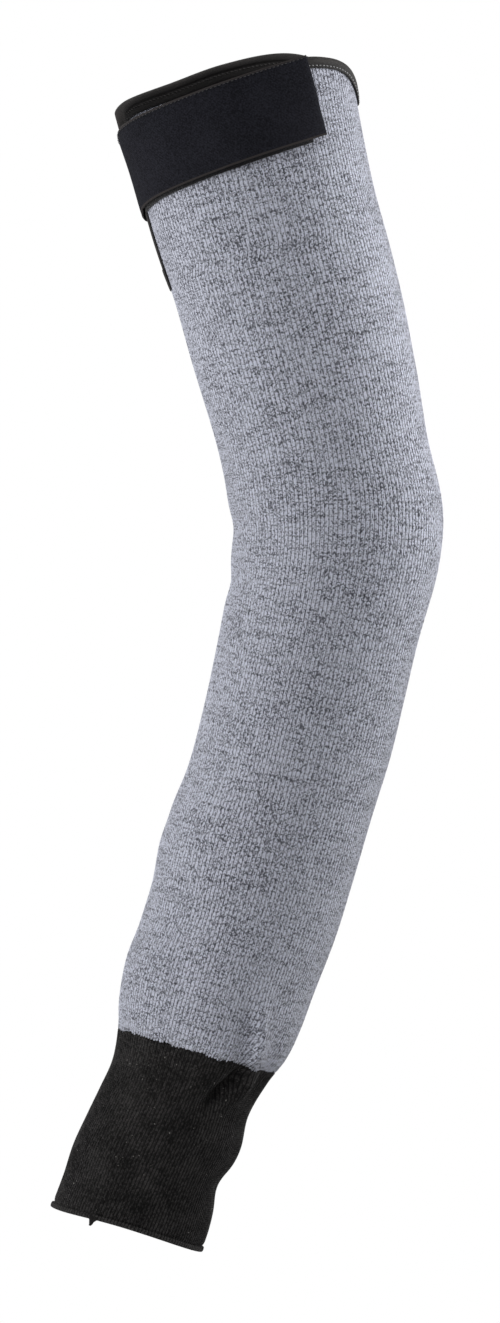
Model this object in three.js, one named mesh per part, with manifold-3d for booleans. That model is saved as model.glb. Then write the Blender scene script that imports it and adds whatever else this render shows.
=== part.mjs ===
// A cut-resistant arm sleeve: a long knitted tube for the arm, from the upper arm to the wrist.
// It stands as it does on a slightly bent arm, mouth up and knitted cuff down, front towards -Y.
//
// Every piece is cloth that follows one surface, the tube. A point of the tube is given by
//   station: millimetres along the arm's centre line, from the mouth downwards,
//   around:  degrees round the arm, 0 on the right, 90 in front, 180 on the left, -90 behind,
//   height:  millimetres out of the knit's outer face.
// The slit runs down the left side, at 180 degrees, where the cloth's two edges meet.
// Millimetres, +Z up. The origin is on the centre line, in the middle of the closure strap.
import * as THREE from "three";
import { mergeVertices } from "three/addons/utils/BufferGeometryUtils.js";
import Module from "manifold-3d";

// Lengths along the arm.
const UPPER_LENGTH = 206; // mouth to elbow
const FOREARM_LENGTH = 269; // elbow to the cuff's seam
const CUFF_LENGTH = 89.5;

// Widths across the arm, seen from the front.
const MOUTH_WIDTH = 108;
const UPPER_ARM_WIDTH = 104;
const ELBOW_WIDTH = 101;
const FOREARM_WIDTH = 93;
const WRIST_WIDTH = 86; // where the sleeve blouses over the cuff
const CUFF_WIDTH = 74;

// The bend of the arm, in degrees from upright, seen from the front.
const UPPER_LEAN = 14.9;
const ELBOW_BEND = 27.8;
const ELBOW_SPAN = 124; // the bend is spread over this length
const FOREARM_CURVE = 4.5;
const CUFF_TURN = 6.5;
const CUFF_TURN_SPAN = 80;

// Cloth and tapes.
const KNIT_WALL = 2;
const CUFF_WALL = 2.4;
const HEM_LENGTH = 4;
const HEM_SWELL = 0.7; // the hem is thicker than the cuff by this much on each face
const SEAM_SKEW = 4; // the cuff's seam is lower on the left and higher on the right by this much
const HEM_SKEW = 5; // and so is its hem
const SKEW_SPAN = 70; // the knit's rows tilt towards the seam over this length
const BINDING_WIDTH = 3.8;
const BINDING_THICKNESS = 0.9;
const BINDING_GAP = 0.45; // between the binding and the knit it wraps
const SEAM_GAP = 0.3; // between pieces that touch

// The mouth's edge dips at the arm's right side and rises behind.
const MOUTH_DROP = 20;

// The slit and what closes it.
const SLIT_LENGTH = 86;
const SLIT_GAP = 6;
const SLIT_TIP = 5; // the slit narrows to nothing over this length
const STRAP_WIDTH = 39;
const STRAP_THICKNESS = 1.6;
const STRAP_START = 13.5; // station of the strap's middle at its fastened end
const STRAP_DROP = 26; // how much lower it is at its sewn end
const LOOP_TAPE_THICKNESS = 1.3;
const LOOP_TAPE_DROP = 1.4; // the loop tape shows this far below the strap
const HOOK_TAPE_WIDTH = 34;
const HOOK_TAPE_THICKNESS = 1.1;

const SEAM = UPPER_LENGTH + FOREARM_LENGTH; // where the cuff begins
const HEM = SEAM + CUFF_LENGTH;
const GRIP = STRAP_WIDTH / 2; // the origin's station

// One row for each section. at is a share of the zone's length. left and right are the half widths,
// front and back the half depths, all as shares of that row's width.
const UPPER = { from: 0, length: UPPER_LENGTH };
const FOREARM = { from: UPPER_LENGTH, length: FOREARM_LENGTH };
const CUFF = { from: SEAM, length: CUFF_LENGTH };
const SECTIONS = [
  { zone: UPPER, at: -0.15, width: MOUTH_WIDTH, left: 0.524, right: 0.517, front: 0.36, back: 0.37 },
  { zone: UPPER, at: 0.0, width: MOUTH_WIDTH, left: 0.52, right: 0.531, front: 0.38, back: 0.39 },
  { zone: UPPER, at: 0.12, width: MOUTH_WIDTH, left: 0.504, right: 0.509, front: 0.4, back: 0.4 },
  { zone: UPPER, at: 0.29, width: UPPER_ARM_WIDTH, left: 0.515, right: 0.509, front: 0.43, back: 0.42 },
  { zone: UPPER, at: 0.44, width: UPPER_ARM_WIDTH, left: 0.497, right: 0.51, front: 0.435, back: 0.42 },
  { zone: UPPER, at: 0.58, width: UPPER_ARM_WIDTH, left: 0.496, right: 0.503, front: 0.43, back: 0.42 },
  { zone: UPPER, at: 0.73, width: UPPER_ARM_WIDTH, left: 0.488, right: 0.482, front: 0.415, back: 0.42 },
  { zone: UPPER, at: 0.87, width: ELBOW_WIDTH, left: 0.496, right: 0.477, front: 0.415, back: 0.43 },
  { zone: UPPER, at: 1.0, width: ELBOW_WIDTH, left: 0.487, right: 0.518, front: 0.405, back: 0.43 },
  { zone: FOREARM, at: 0.07, width: ELBOW_WIDTH, left: 0.47, right: 0.512, front: 0.4, back: 0.425 },
  { zone: FOREARM, at: 0.18, width: FOREARM_WIDTH, left: 0.495, right: 0.515, front: 0.43, back: 0.43 },
  { zone: FOREARM, at: 0.29, width: FOREARM_WIDTH, left: 0.482, right: 0.511, front: 0.425, back: 0.42 },
  { zone: FOREARM, at: 0.4, width: FOREARM_WIDTH, left: 0.474, right: 0.511, front: 0.415, back: 0.41 },
  { zone: FOREARM, at: 0.51, width: FOREARM_WIDTH, left: 0.48, right: 0.494, front: 0.4, back: 0.4 },
  { zone: FOREARM, at: 0.62, width: FOREARM_WIDTH, left: 0.525, right: 0.485, front: 0.385, back: 0.385 },
  { zone: FOREARM, at: 0.73, width: FOREARM_WIDTH, left: 0.5, right: 0.475, front: 0.365, back: 0.365 },
  { zone: FOREARM, at: 0.84, width: WRIST_WIDTH, left: 0.565, right: 0.484, front: 0.38, back: 0.37 },
  { zone: FOREARM, at: 0.9, width: WRIST_WIDTH, left: 0.555, right: 0.472, front: 0.365, back: 0.355 },
  { zone: FOREARM, at: 0.955, width: WRIST_WIDTH, left: 0.527, right: 0.446, front: 0.335, back: 0.33 },
  { zone: CUFF, at: 0.0, width: CUFF_WIDTH, left: 0.562, right: 0.45, front: 0.335, back: 0.33 },
  { zone: CUFF, at: 0.19, width: CUFF_WIDTH, left: 0.517, right: 0.43, front: 0.3, back: 0.295 },
  { zone: CUFF, at: 0.36, width: CUFF_WIDTH, left: 0.52, right: 0.468, front: 0.285, back: 0.28 },
  { zone: CUFF, at: 0.53, width: CUFF_WIDTH, left: 0.527, right: 0.466, front: 0.275, back: 0.27 },
  { zone: CUFF, at: 0.7, width: CUFF_WIDTH, left: 0.53, right: 0.472, front: 0.265, back: 0.26 },
  { zone: CUFF, at: 0.87, width: CUFF_WIDTH, left: 0.508, right: 0.497, front: 0.26, back: 0.255 },
  { zone: CUFF, at: 1.15, width: CUFF_WIDTH, left: 0.49, right: 0.513, front: 0.255, back: 0.25 },
];

// One row for each soft fold or dent: its middle, its half length down the arm and half width round it,
// how far it slants (degrees round for its half length), and its depth, where a minus sign is a ridge.
// at is a share of the whole length, long and deep are shares of the cuff's width.
const FOLDS = [
  { at: 0.885, around: 62, long: 0.26, wide: 9, slant: 26, deep: 0.034 },
  { at: 0.87, around: 40, long: 0.2, wide: 10, slant: 16, deep: -0.022 },
  { at: 0.935, around: 8, long: 0.11, wide: 26, slant: 0, deep: 0.05 },
  { at: 0.81, around: 50, long: 0.34, wide: 9, slant: 0, deep: -0.02 },
  { at: 0.8, around: 22, long: 0.4, wide: 12, slant: -6, deep: 0.026 },
  { at: 0.74, around: 150, long: 0.2, wide: 34, slant: 30, deep: 0.022 },
  { at: 0.66, around: 165, long: 0.16, wide: 30, slant: -20, deep: 0.018 },
  { at: 0.38, around: 172, long: 0.16, wide: 42, slant: -24, deep: 0.02 },
  { at: 0.44, around: 176, long: 0.12, wide: 34, slant: 18, deep: 0.018 },
  { at: 0.16, around: -70, long: 0.4, wide: 16, slant: 24, deep: 0.02 },
];

// The mouth's edge: how far down the arm it lies, as a share of MOUTH_DROP, from the slit's back edge
// round behind, the right side and the front to the slit's front edge.
const MOUTH_EDGE = [
  { around: -180, drop: -0.07 },
  { around: -165, drop: -0.32 },
  { around: -150, drop: -0.48 },
  { around: -120, drop: -0.64 },
  { around: -90, drop: -0.78 },
  { around: -60, drop: -0.65 },
  { around: -38, drop: -0.15 },
  { around: -18, drop: 0.7 },
  { around: -4, drop: 0.84 },
  { around: 6, drop: 0.54 },
  { around: 18, drop: 0.23 },
  { around: 34, drop: -0.01 },
  { around: 55, drop: -0.15 },
  { around: 90, drop: -0.06 },
  { around: 120, drop: 0.04 },
  { around: 150, drop: 0.14 },
  { around: 180, drop: 0.22 },
];

// The strap's path, from its fastened end on the front, over the slit, to its sewn end behind.
// drop is a share of STRAP_DROP.
const STRAP_PATH = [
  { around: 51, drop: 0.01 },
  { around: 90, drop: 0.11 },
  { around: 125, drop: 0.21 },
  { around: 150, drop: 0.3 },
  { around: 170, drop: 0.42 },
  { around: 185, drop: 0.56 },
  { around: 200, drop: 0.74 },
  { around: 226, drop: 1 },
];
const LOOP_TAPE_ENDS = [57, 158];
const HOOK_TAPE_ENDS = [54, 98];

// A smooth curve through a table's rows: a cubic between two rows, with each row's slope taken
// from its two neighbours.
function curveThrough(places, values) {
  const last = places.length - 1;
  const slope = (i) => {
    const a = Math.max(i - 1, 0);
    const b = Math.min(i + 1, last);
    return (values[b] - values[a]) / (places[b] - places[a]);
  };
  return (place) => {
    const at = Math.min(Math.max(place, places[0]), places[last]);
    let i = 0;
    while (i < last - 1 && at > places[i + 1]) i += 1;
    const span = places[i + 1] - places[i];
    const t = (at - places[i]) / span;
    const back = 1 - t;
    return (
      values[i] * (1 + 2 * t) * back * back +
      slope(i) * span * t * back * back +
      values[i + 1] * t * t * (3 - 2 * t) -
      slope(i + 1) * span * t * t * back
    );
  };
}

function ease(share) {
  const t = Math.min(Math.max(share, 0), 1);
  return t * t * (3 - 2 * t);
}

const radians = THREE.MathUtils.degToRad;

// The centre line: the lean from upright at each station, summed in short steps.
const STEP = 1;
const LINE_FROM = -60;
const LINE_TO = HEM + 60;

function lean(station) {
  const elbow = ease((station - UPPER_LENGTH) / ELBOW_SPAN + 0.5);
  const forearm = (station - UPPER_LENGTH - ELBOW_SPAN / 2) / (FOREARM_LENGTH - ELBOW_SPAN / 2);
  const cuff = ease((station - SEAM) / CUFF_TURN_SPAN + 0.5);
  return radians(
    UPPER_LEAN -
      ELBOW_BEND * elbow -
      FOREARM_CURVE * Math.min(Math.max(forearm, 0), 1) -
      CUFF_TURN * cuff,
  );
}

const linePoints = [{ x: 0, z: 0 }];
for (let station = LINE_FROM; station < LINE_TO; station += STEP) {
  const { x, z } = linePoints[linePoints.length - 1];
  const direction = lean(station + STEP / 2);
  linePoints.push({ x: x + STEP * Math.sin(direction), z: z - STEP * Math.cos(direction) });
}

function rawCentre(station) {
  const place = (station - LINE_FROM) / STEP;
  const i = Math.min(Math.max(Math.floor(place), 0), linePoints.length - 2);
  const t = place - i;
  const a = linePoints[i];
  const b = linePoints[i + 1];
  return { x: a.x + (b.x - a.x) * t, z: a.z + (b.z - a.z) * t };
}

const grip = rawCentre(GRIP);

// The tube's half sizes at each station.
const sectionPlaces = SECTIONS.map((row) => row.zone.from + row.at * row.zone.length);
const half = {};
for (const side of ["left", "right", "front", "back"]) {
  half[side] = curveThrough(
    sectionPlaces,
    SECTIONS.map((row) => row[side] * row.width),
  );
}

// How far the folds push the cloth out of its plain oval.
function foldHeight(station, around) {
  let height = 0;
  for (const fold of FOLDS) {
    const down = (station - fold.at * HEM) / (fold.long * CUFF_WIDTH);
    const turned = around - fold.around - fold.slant * down;
    const across = (turned - 360 * Math.round(turned / 360)) / fold.wide;
    height -= fold.deep * CUFF_WIDTH * Math.exp(-down * down - across * across);
  }
  return height;
}

// The tube's outer face: an oval across the centre line, with its own half size on each side.
function onTube(station, around) {
  const centre = rawCentre(station);
  const direction = lean(station);
  const angle = radians(around);
  const cos = Math.cos(angle);
  const sin = Math.sin(angle);
  const fold = foldHeight(station, around);
  const across = (half[cos < 0 ? "left" : "right"](station) + fold) * cos;
  const forward = (half[sin < 0 ? "back" : "front"](station) + fold) * sin;
  return new THREE.Vector3(
    centre.x - grip.x + across * Math.cos(direction),
    -forward,
    centre.z - grip.z + across * Math.sin(direction),
  );
}

const NEAR_STATION = 0.5;
const NEAR_AROUND = 0.5;

function slopes(station, around) {
  const down = onTube(station + NEAR_STATION, around).sub(onTube(station - NEAR_STATION, around));
  const round = onTube(station, around + NEAR_AROUND).sub(onTube(station, around - NEAR_AROUND));
  return { down, round };
}

// A point at some height over the tube's outer face, along the face's normal.
function place(station, around, height) {
  const { down, round } = slopes(station, around);
  const normal = round.cross(down).normalize();
  return onTube(station, around).addScaledVector(normal, height);
}

// Degrees round the arm for one millimetre round it.
function degreesPerMillimetre(station, around) {
  return (2 * NEAR_AROUND) / slopes(station, around).round.length();
}

// A closed sheet of cloth over a grid of rows and columns. at(row, column, face) gives a point, face 0
// inside and 1 outside. Where a row's first and last points are the same, as below the slit, the
// sheet closes into a tube: openRows says how many rows from the start keep their side edges.
function sheet(rows, columns, at, openRows = rows) {
  const width = columns + 1;
  const count = (rows + 1) * width;
  const positions = [];
  for (const face of [0, 1]) {
    for (let row = 0; row <= rows; row += 1) {
      for (let column = 0; column <= columns; column += 1) {
        const point = at(row, column, face);
        positions.push(point.x, point.y, point.z);
      }
    }
  }
  const corner = (row, column, face) => face * count + row * width + column;
  const triangles = [];
  const quad = (a, b, c, d) => triangles.push(a, b, c, a, c, d);
  for (let row = 0; row < rows; row += 1) {
    for (let column = 0; column < columns; column += 1) {
      const corners = [
        [row, column],
        [row, column + 1],
        [row + 1, column + 1],
        [row + 1, column],
      ];
      quad(...corners.map(([r, c]) => corner(r, c, 1)));
      quad(...corners.reverse().map(([r, c]) => corner(r, c, 0)));
    }
  }
  for (let column = 0; column < columns; column += 1) {
    quad(corner(0, column, 0), corner(0, column + 1, 0), corner(0, column + 1, 1), corner(0, column, 1));
    quad(
      corner(rows, column, 0),
      corner(rows, column, 1),
      corner(rows, column + 1, 1),
      corner(rows, column + 1, 0),
    );
  }
  for (let row = 0; row < Math.min(rows, openRows); row += 1) {
    quad(corner(row, 0, 0), corner(row, 0, 1), corner(row + 1, 0, 1), corner(row + 1, 0, 0));
    quad(
      corner(row + 1, columns, 0),
      corner(row + 1, columns, 1),
      corner(row, columns, 1),
      corner(row, columns, 0),
    );
  }
  const geometry = new THREE.BufferGeometry();
  geometry.setAttribute("position", new THREE.Float32BufferAttribute(positions, 3));
  geometry.setIndex(triangles);
  return geometry;
}

const mix = (from, to, share) => from + (to - from) * share;

// The mouth's edge and the slit's.
const mouthEdge = curveThrough(
  MOUTH_EDGE.map((row) => row.around),
  MOUTH_EDGE.map((row) => row.drop * MOUTH_DROP),
);

// Half the slit's width in degrees: even down to its tip, and nothing below it.
function slitHalf(station) {
  const open = Math.min(Math.max((SLIT_LENGTH - station) / SLIT_TIP, 0), 1);
  return (SLIT_GAP / 2) * open * degreesPerMillimetre(station, 180);
}

// The sleeve: one knitted tube, open at the mouth, the slit and the wrist.
const BODY_COLUMNS = 46;
const SLIT_SHARES = [0, 0.1, 0.22, 0.34, 0.46, 0.58, 0.7, 0.82];
const BODY_STEP = 15; // between sections below the slit

function sleeveBody() {
  const lower = [];
  const steps = Math.round((SEAM - SLIT_LENGTH) / BODY_STEP);
  for (let i = 1; i <= steps; i += 1) {
    lower.push(mix(SLIT_LENGTH, SEAM - SEAM_GAP / 2, i / steps));
  }
  const slitRows = SLIT_SHARES.length + 1;
  const station = (row, around) => {
    if (row < SLIT_SHARES.length) {
      return mix(mouthEdge(around), SLIT_LENGTH - SLIT_TIP, SLIT_SHARES[row] / 0.82);
    }
    if (row === SLIT_SHARES.length) return SLIT_LENGTH;
    const level = lower[row - slitRows];
    const tilt = ease(1 - (SEAM - level) / SKEW_SPAN);
    return level - SEAM_SKEW * tilt * Math.cos(radians(around));
  };
  const at = (row, column, face) => {
    const share = (2 * column) / BODY_COLUMNS - 1;
    const edge = Math.sign(share) * 180;
    const around = share * (180 - slitHalf(station(row, edge)));
    return place(station(row, around), around, face === 1 ? 0 : -KNIT_WALL);
  };
  return sheet(slitRows + lower.length - 1, BODY_COLUMNS, at, slitRows - 1);
}

// The cuff: a ribbed tube with a thicker hem, whose lower edge is a little askew.
const CUFF_COLUMNS = 40;
const CUFF_ROWS = 9;

function wristCuff() {
  const hemTop = HEM - HEM_LENGTH;
  const rows = [];
  for (let i = 0; i <= CUFF_ROWS; i += 1) {
    rows.push({ station: mix(SEAM + SEAM_GAP / 2, hemTop, i / CUFF_ROWS), swell: 0 });
  }
  rows.push({ station: mix(hemTop, HEM, 0.3), swell: 1 });
  rows.push({ station: mix(hemTop, HEM, 0.75), swell: 1 });
  rows.push({ station: HEM, swell: 0.2 });
  const at = (row, column, face) => {
    const around = (360 * column) / CUFF_COLUMNS - 180;
    const { station, swell } = rows[row];
    const share = (station - SEAM) / CUFF_LENGTH;
    const skew = -mix(SEAM_SKEW, HEM_SKEW, share) * Math.cos(radians(around));
    const height = HEM_SWELL * swell;
    return place(station + skew, around, face === 1 ? height : -CUFF_WALL - height);
  };
  return sheet(rows.length - 1, CUFF_COLUMNS, at, 0);
}

// The binding's section, folded over a cloth edge: each row is one place across the tape, with the
// face against the cloth first and the outer face second, as distance in from the edge and height.
function bindingSection() {
  const near = BINDING_GAP;
  const far = BINDING_GAP + BINDING_THICKNESS;
  return [
    { inner: [BINDING_WIDTH, near], outer: [BINDING_WIDTH, far] },
    { inner: [0, near], outer: [0, far] },
    { inner: [-near, 0], outer: [-far, 0] },
    { inner: [-near, -KNIT_WALL], outer: [-far, -KNIT_WALL] },
    { inner: [0, -KNIT_WALL - near], outer: [0, -KNIT_WALL - far] },
    { inner: [BINDING_WIDTH, -KNIT_WALL - near], outer: [BINDING_WIDTH, -KNIT_WALL - far] },
  ];
}

// The mouth's binding, from one edge of the slit round to the other, square to the mouth's edge.
const MOUTH_STEPS = BODY_COLUMNS; // its folds meet the knit's

function mouthBinding() {
  const section = bindingSection();
  const at = (row, column, face) => {
    const share = (2 * row) / MOUTH_STEPS - 1;
    const edge = Math.sign(share) * 180;
    const around = share * (180 - slitHalf(mouthEdge(edge)));
    const station = mouthEdge(around);
    const perMillimetre = degreesPerMillimetre(station, around);
    const rise = (mouthEdge(around + 2) - mouthEdge(around - 2)) / (4 / perMillimetre);
    const length = Math.hypot(1, rise);
    const [inset, height] = section[column][face === 1 ? "outer" : "inner"];
    return place(
      station + inset / length,
      around - ((inset * rise) / length) * perMillimetre,
      height,
    );
  };
  return sheet(MOUTH_STEPS, section.length - 1, at);
}

const wasm = await Module();
wasm.setup();

function toSolid(geometry) {
  const merged = mergeVertices(geometry, 1e-4);
  const made = new wasm.Manifold(
    new wasm.Mesh({
      numProp: 3,
      vertProperties: new Float32Array(merged.attributes.position.array),
      triVerts: new Uint32Array(merged.index.array),
    }),
  );
  return made;
}

function toGeometry(solid) {
  const mesh = solid.getMesh();
  const geometry = new THREE.BufferGeometry();
  geometry.setAttribute("position", new THREE.BufferAttribute(new Float32Array(mesh.vertProperties), 3));
  geometry.setIndex(new THREE.BufferAttribute(new Uint32Array(mesh.triVerts), 1));
  return geometry;
}

// The slit's binding: a leg folded over each edge, joined round the slit's tip by a tab of tape on
// each face of the cloth.
const LEG_STEPS = 9;
const TAB_COLUMNS = 6;

function slitBinding() {
  const section = bindingSection();
  const legEnd = SLIT_LENGTH - SLIT_TIP;
  const leg = (edge) => {
    const legStart = mouthEdge(edge) + BINDING_WIDTH + 2 * SEAM_GAP;
    const inwards = -Math.sign(edge);
    const at = (row, column, face) => {
      const station = mix(legStart, legEnd, row / LEG_STEPS);
      const perMillimetre = degreesPerMillimetre(station, edge);
      const [inset, height] = section[column][face === 1 ? "outer" : "inner"];
      const around = edge + inwards * (slitHalf(station) + inset * perMillimetre);
      return place(station, around, height);
    };
    return at;
  };
  const mirrored = (at) => (row, column, face) => at(LEG_STEPS - row, column, face);
  const tab = (low) => (row, column, face) => {
    const station = mix(legEnd - BINDING_WIDTH, SLIT_LENGTH + BINDING_WIDTH / 2, row);
    const reach = (SLIT_GAP / 2 + BINDING_WIDTH) * degreesPerMillimetre(station, 180);
    const around = 180 + reach * ((2 * column) / TAB_COLUMNS - 1);
    return place(station, around, low + face * BINDING_THICKNESS);
  };
  const legs = [sheet(LEG_STEPS, section.length - 1, leg(180))];
  legs.push(sheet(LEG_STEPS, section.length - 1, mirrored(leg(-180))));
  const tabs = [BINDING_GAP, -KNIT_WALL - BINDING_GAP - BINDING_THICKNESS];
  const solids = [...legs, ...tabs.map((low) => sheet(1, TAB_COLUMNS, tab(low)))].map(toSolid);
  return toGeometry(solids.reduce((whole, piece) => whole.add(piece)));
}

// The strap and its hook and loop tapes lie one on the other over the front of the sleeve.
const loopHeight = SEAM_GAP;
const hookHeight = loopHeight + LOOP_TAPE_THICKNESS + SEAM_GAP;
const strapOverHooks = hookHeight + HOOK_TAPE_THICKNESS + SEAM_GAP;
const strapOverLoops = hookHeight;
const strapOverBinding = BINDING_GAP + BINDING_THICKNESS + SEAM_GAP;

const strapAngles = STRAP_PATH.map((row) => row.around);
const strapMiddle = curveThrough(
  strapAngles,
  STRAP_PATH.map((row) => STRAP_START + row.drop * STRAP_DROP),
);
const strapHeight = curveThrough(
  [strapAngles[0], 94, 112, 152, 170, 186, strapAngles[strapAngles.length - 1]],
  [
    strapOverHooks,
    strapOverHooks,
    strapOverLoops + SEAM_GAP,
    strapOverLoops + SEAM_GAP,
    strapOverBinding + SEAM_GAP,
    strapOverBinding + SEAM_GAP,
    strapOverBinding,
  ],
);

// A band of tape round the sleeve between two angles. top and bottom give its edges' stations, and
// height its distance from the knit.
const BAND_COLUMNS = 4;
const STRAP_STEPS = 34;
const TAPE_STEPS = 18;

function band({ ends, top, bottom, height, thickness, steps }) {
  const at = (row, column, face) => {
    const around = mix(ends[1], ends[0], row / steps);
    const share = column / BAND_COLUMNS;
    const station = mix(top(around), bottom(around), share);
    return place(station, around, height(around) + face * thickness);
  };
  return sheet(steps, BAND_COLUMNS, at);
}

const closureStrap = () =>
  band({
    ends: [strapAngles[0], strapAngles[strapAngles.length - 1]],
    top: (around) => strapMiddle(around) - STRAP_WIDTH / 2,
    bottom: (around) => strapMiddle(around) + STRAP_WIDTH / 2,
    height: strapHeight,
    thickness: STRAP_THICKNESS,
    steps: STRAP_STEPS,
  });

// The loop tape is sewn on just under the mouth's binding, and shows below the strap.
const loopTape = () =>
  band({
    ends: LOOP_TAPE_ENDS,
    top: (around) => mouthEdge(around) + BINDING_WIDTH + 2 * SEAM_GAP,
    bottom: (around) => strapMiddle(around) + STRAP_WIDTH / 2 + LOOP_TAPE_DROP,
    height: () => loopHeight,
    thickness: LOOP_TAPE_THICKNESS,
    steps: TAPE_STEPS,
  });

const hookTape = () =>
  band({
    ends: HOOK_TAPE_ENDS,
    top: (around) => strapMiddle(around) - HOOK_TAPE_WIDTH / 2,
    bottom: (around) => strapMiddle(around) + HOOK_TAPE_WIDTH / 2,
    height: () => hookHeight,
    thickness: HOOK_TAPE_THICKNESS,
    steps: TAPE_STEPS / 2,
  });

const FINISHES = {
  greyKnit: new THREE.MeshStandardMaterial({ color: 0x9a9ca8, roughness: 0.95, metalness: 0 }),
  blackRib: new THREE.MeshStandardMaterial({ color: 0x242324, roughness: 0.95, metalness: 0 }),
  blackTape: new THREE.MeshStandardMaterial({ color: 0x3a3938, roughness: 0.8, metalness: 0 }),
  strapElastic: new THREE.MeshStandardMaterial({ color: 0x1f2024, roughness: 0.85, metalness: 0 }),
};

const PIECES = [
  { name: "sleeve_body", shape: sleeveBody, finish: FINISHES.greyKnit },
  { name: "wrist_cuff", shape: wristCuff, finish: FINISHES.blackRib },
  { name: "mouth_binding", shape: mouthBinding, finish: FINISHES.blackTape },
  { name: "slit_binding", shape: slitBinding, finish: FINISHES.blackTape },
  { name: "loop_tape", shape: loopTape, finish: FINISHES.blackTape },
  { name: "hook_tape", shape: hookTape, finish: FINISHES.blackTape },
  { name: "closure_strap", shape: closureStrap, finish: FINISHES.strapElastic },
];

const sleeve = new THREE.Group();
for (const { name, shape, finish } of PIECES) {
  const mesh = new THREE.Mesh(shape(), finish);
  mesh.name = name;
  sleeve.add(mesh);
}

export default sleeve;
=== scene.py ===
"""A cut-resistant sleeve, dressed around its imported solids. Lengths are in millimetres, and
become metres as each mesh is made."""

import bpy
import numpy as np
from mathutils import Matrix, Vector


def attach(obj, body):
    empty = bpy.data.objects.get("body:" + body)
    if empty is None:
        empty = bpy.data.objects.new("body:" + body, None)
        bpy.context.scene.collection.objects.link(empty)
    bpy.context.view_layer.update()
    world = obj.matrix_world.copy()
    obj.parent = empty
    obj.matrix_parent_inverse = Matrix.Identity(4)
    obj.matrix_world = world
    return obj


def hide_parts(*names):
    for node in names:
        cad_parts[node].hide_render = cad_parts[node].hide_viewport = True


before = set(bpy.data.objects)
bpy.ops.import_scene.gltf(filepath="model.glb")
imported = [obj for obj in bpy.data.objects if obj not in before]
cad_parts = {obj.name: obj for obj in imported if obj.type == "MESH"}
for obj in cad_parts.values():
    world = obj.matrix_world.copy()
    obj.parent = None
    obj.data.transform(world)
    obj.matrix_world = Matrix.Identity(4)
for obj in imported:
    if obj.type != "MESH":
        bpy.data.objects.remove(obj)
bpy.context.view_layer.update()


# The knitted sleeve
# A seamless tube of protective yarn, pale fibre twisted with dark, knitted plain in the round on
# a fine machine. Its columns of stitches run down the arm, and it is bloused over the wrist.

UPPER_LENGTH = 206.0
FOREARM_LENGTH = 269.0
CUFF_LENGTH = 89.5
SEAM = UPPER_LENGTH + FOREARM_LENGTH
HEM = SEAM + CUFF_LENGTH
GRIP = 19.5  # the station of the origin
UPPER_LEAN = 14.9  # this and the next three are angles in degrees
ELBOW_BEND = 27.8
FOREARM_CURVE = 4.5
WRIST_TURN = 6.5
ELBOW_SPAN = 124.0
WRIST_SPAN = 80.0

# Each row: station down the arm, then the tube's half sizes to the left, right, front and back.
ARM_SECTIONS = np.array([
    (-30.9, 56.9, 56.5, 38.9, 40.0),
    (0.0, 56.6, 58.0, 41.0, 42.1),
    (24.7, 55.0, 55.7, 43.2, 43.2),
    (59.7, 54.3, 53.6, 44.7, 43.7),
    (90.6, 52.4, 53.7, 45.2, 43.7),
    (119.5, 52.0, 53.0, 44.7, 43.7),
    (150.4, 50.8, 50.8, 43.2, 43.7),
    (179.2, 50.1, 48.9, 41.9, 43.4),
    (206.0, 49.2, 53.0, 40.9, 43.4),
    (224.8, 47.5, 52.4, 40.4, 42.9),
    (254.4, 46.0, 48.6, 40.0, 40.0),
    (284.0, 44.8, 48.2, 39.5, 39.1),
    (313.6, 44.1, 48.2, 38.6, 38.1),
    (343.2, 44.6, 46.6, 37.2, 37.2),
    (372.8, 48.8, 45.8, 35.8, 35.8),
    (402.4, 46.5, 44.9, 33.9, 33.9),
    (432.0, 48.6, 42.3, 32.7, 31.8),
    (448.1, 47.7, 41.3, 31.4, 30.5),
    (462.9, 45.3, 39.1, 28.8, 28.4),
    (475.0, 41.6, 34.6, 24.8, 24.4),
    (492.0, 38.3, 31.8, 22.2, 21.8),
    (507.2, 38.5, 34.6, 21.1, 20.7),
    (522.4, 39.0, 34.5, 20.4, 20.0),
    (537.6, 39.2, 34.9, 19.6, 19.2),
    (552.9, 37.6, 36.8, 19.2, 18.9),
    (577.9, 36.3, 38.0, 18.9, 18.5),
])

# Each row: a soft fold's station and place round the arm in degrees, its half length, its half
# width in degrees, its slant in degrees for a half length, and its depth, below 0 for a ridge.
FOLDS = np.array([
    (482.5, 60, 11.5, 6, 11, 7.50),
    (484, 45, 13.0, 6, 8, -2.40),
    (528, 8, 8.1, 26, 0, 3.70),
    (461, 52, 19.0, 5, -9, -4.20),
    (461, 63, 17.0, 7, -9, 3.40),
    (468, 31, 13.0, 8, -6, 2.20),
    (436, 118, 24.0, 11, -8, 1.10),
    (418, 150, 14.8, 34, 30, 1.63),
    (373, 165, 11.8, 30, -20, 1.33),
    (215, 172, 11.8, 42, -24, 1.48),
    (248, 176, 8.9, 34, 18, 1.33),
    (90, -70, 29.6, 16, 24, 1.48),
])

# Each row: a place round the arm, from behind the slit round the right side, and how far down
# the arm the mouth's edge lies there.
MOUTH_EDGE = np.array([
    (-180, -1.4),
    (-165, -6.4),
    (-150, -9.6),
    (-120, -12.8),
    (-90, -15.6),
    (-60, -13.0),
    (-38, -3.0),
    (-18, 14.0),
    (-4, 16.8),
    (6, 10.8),
    (18, 4.0),
    (34, -0.9),
    (55, -3.8),
    (90, -1.2),
    (120, 0.8),
    (150, 2.8),
    (180, 4.4),
])


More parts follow.
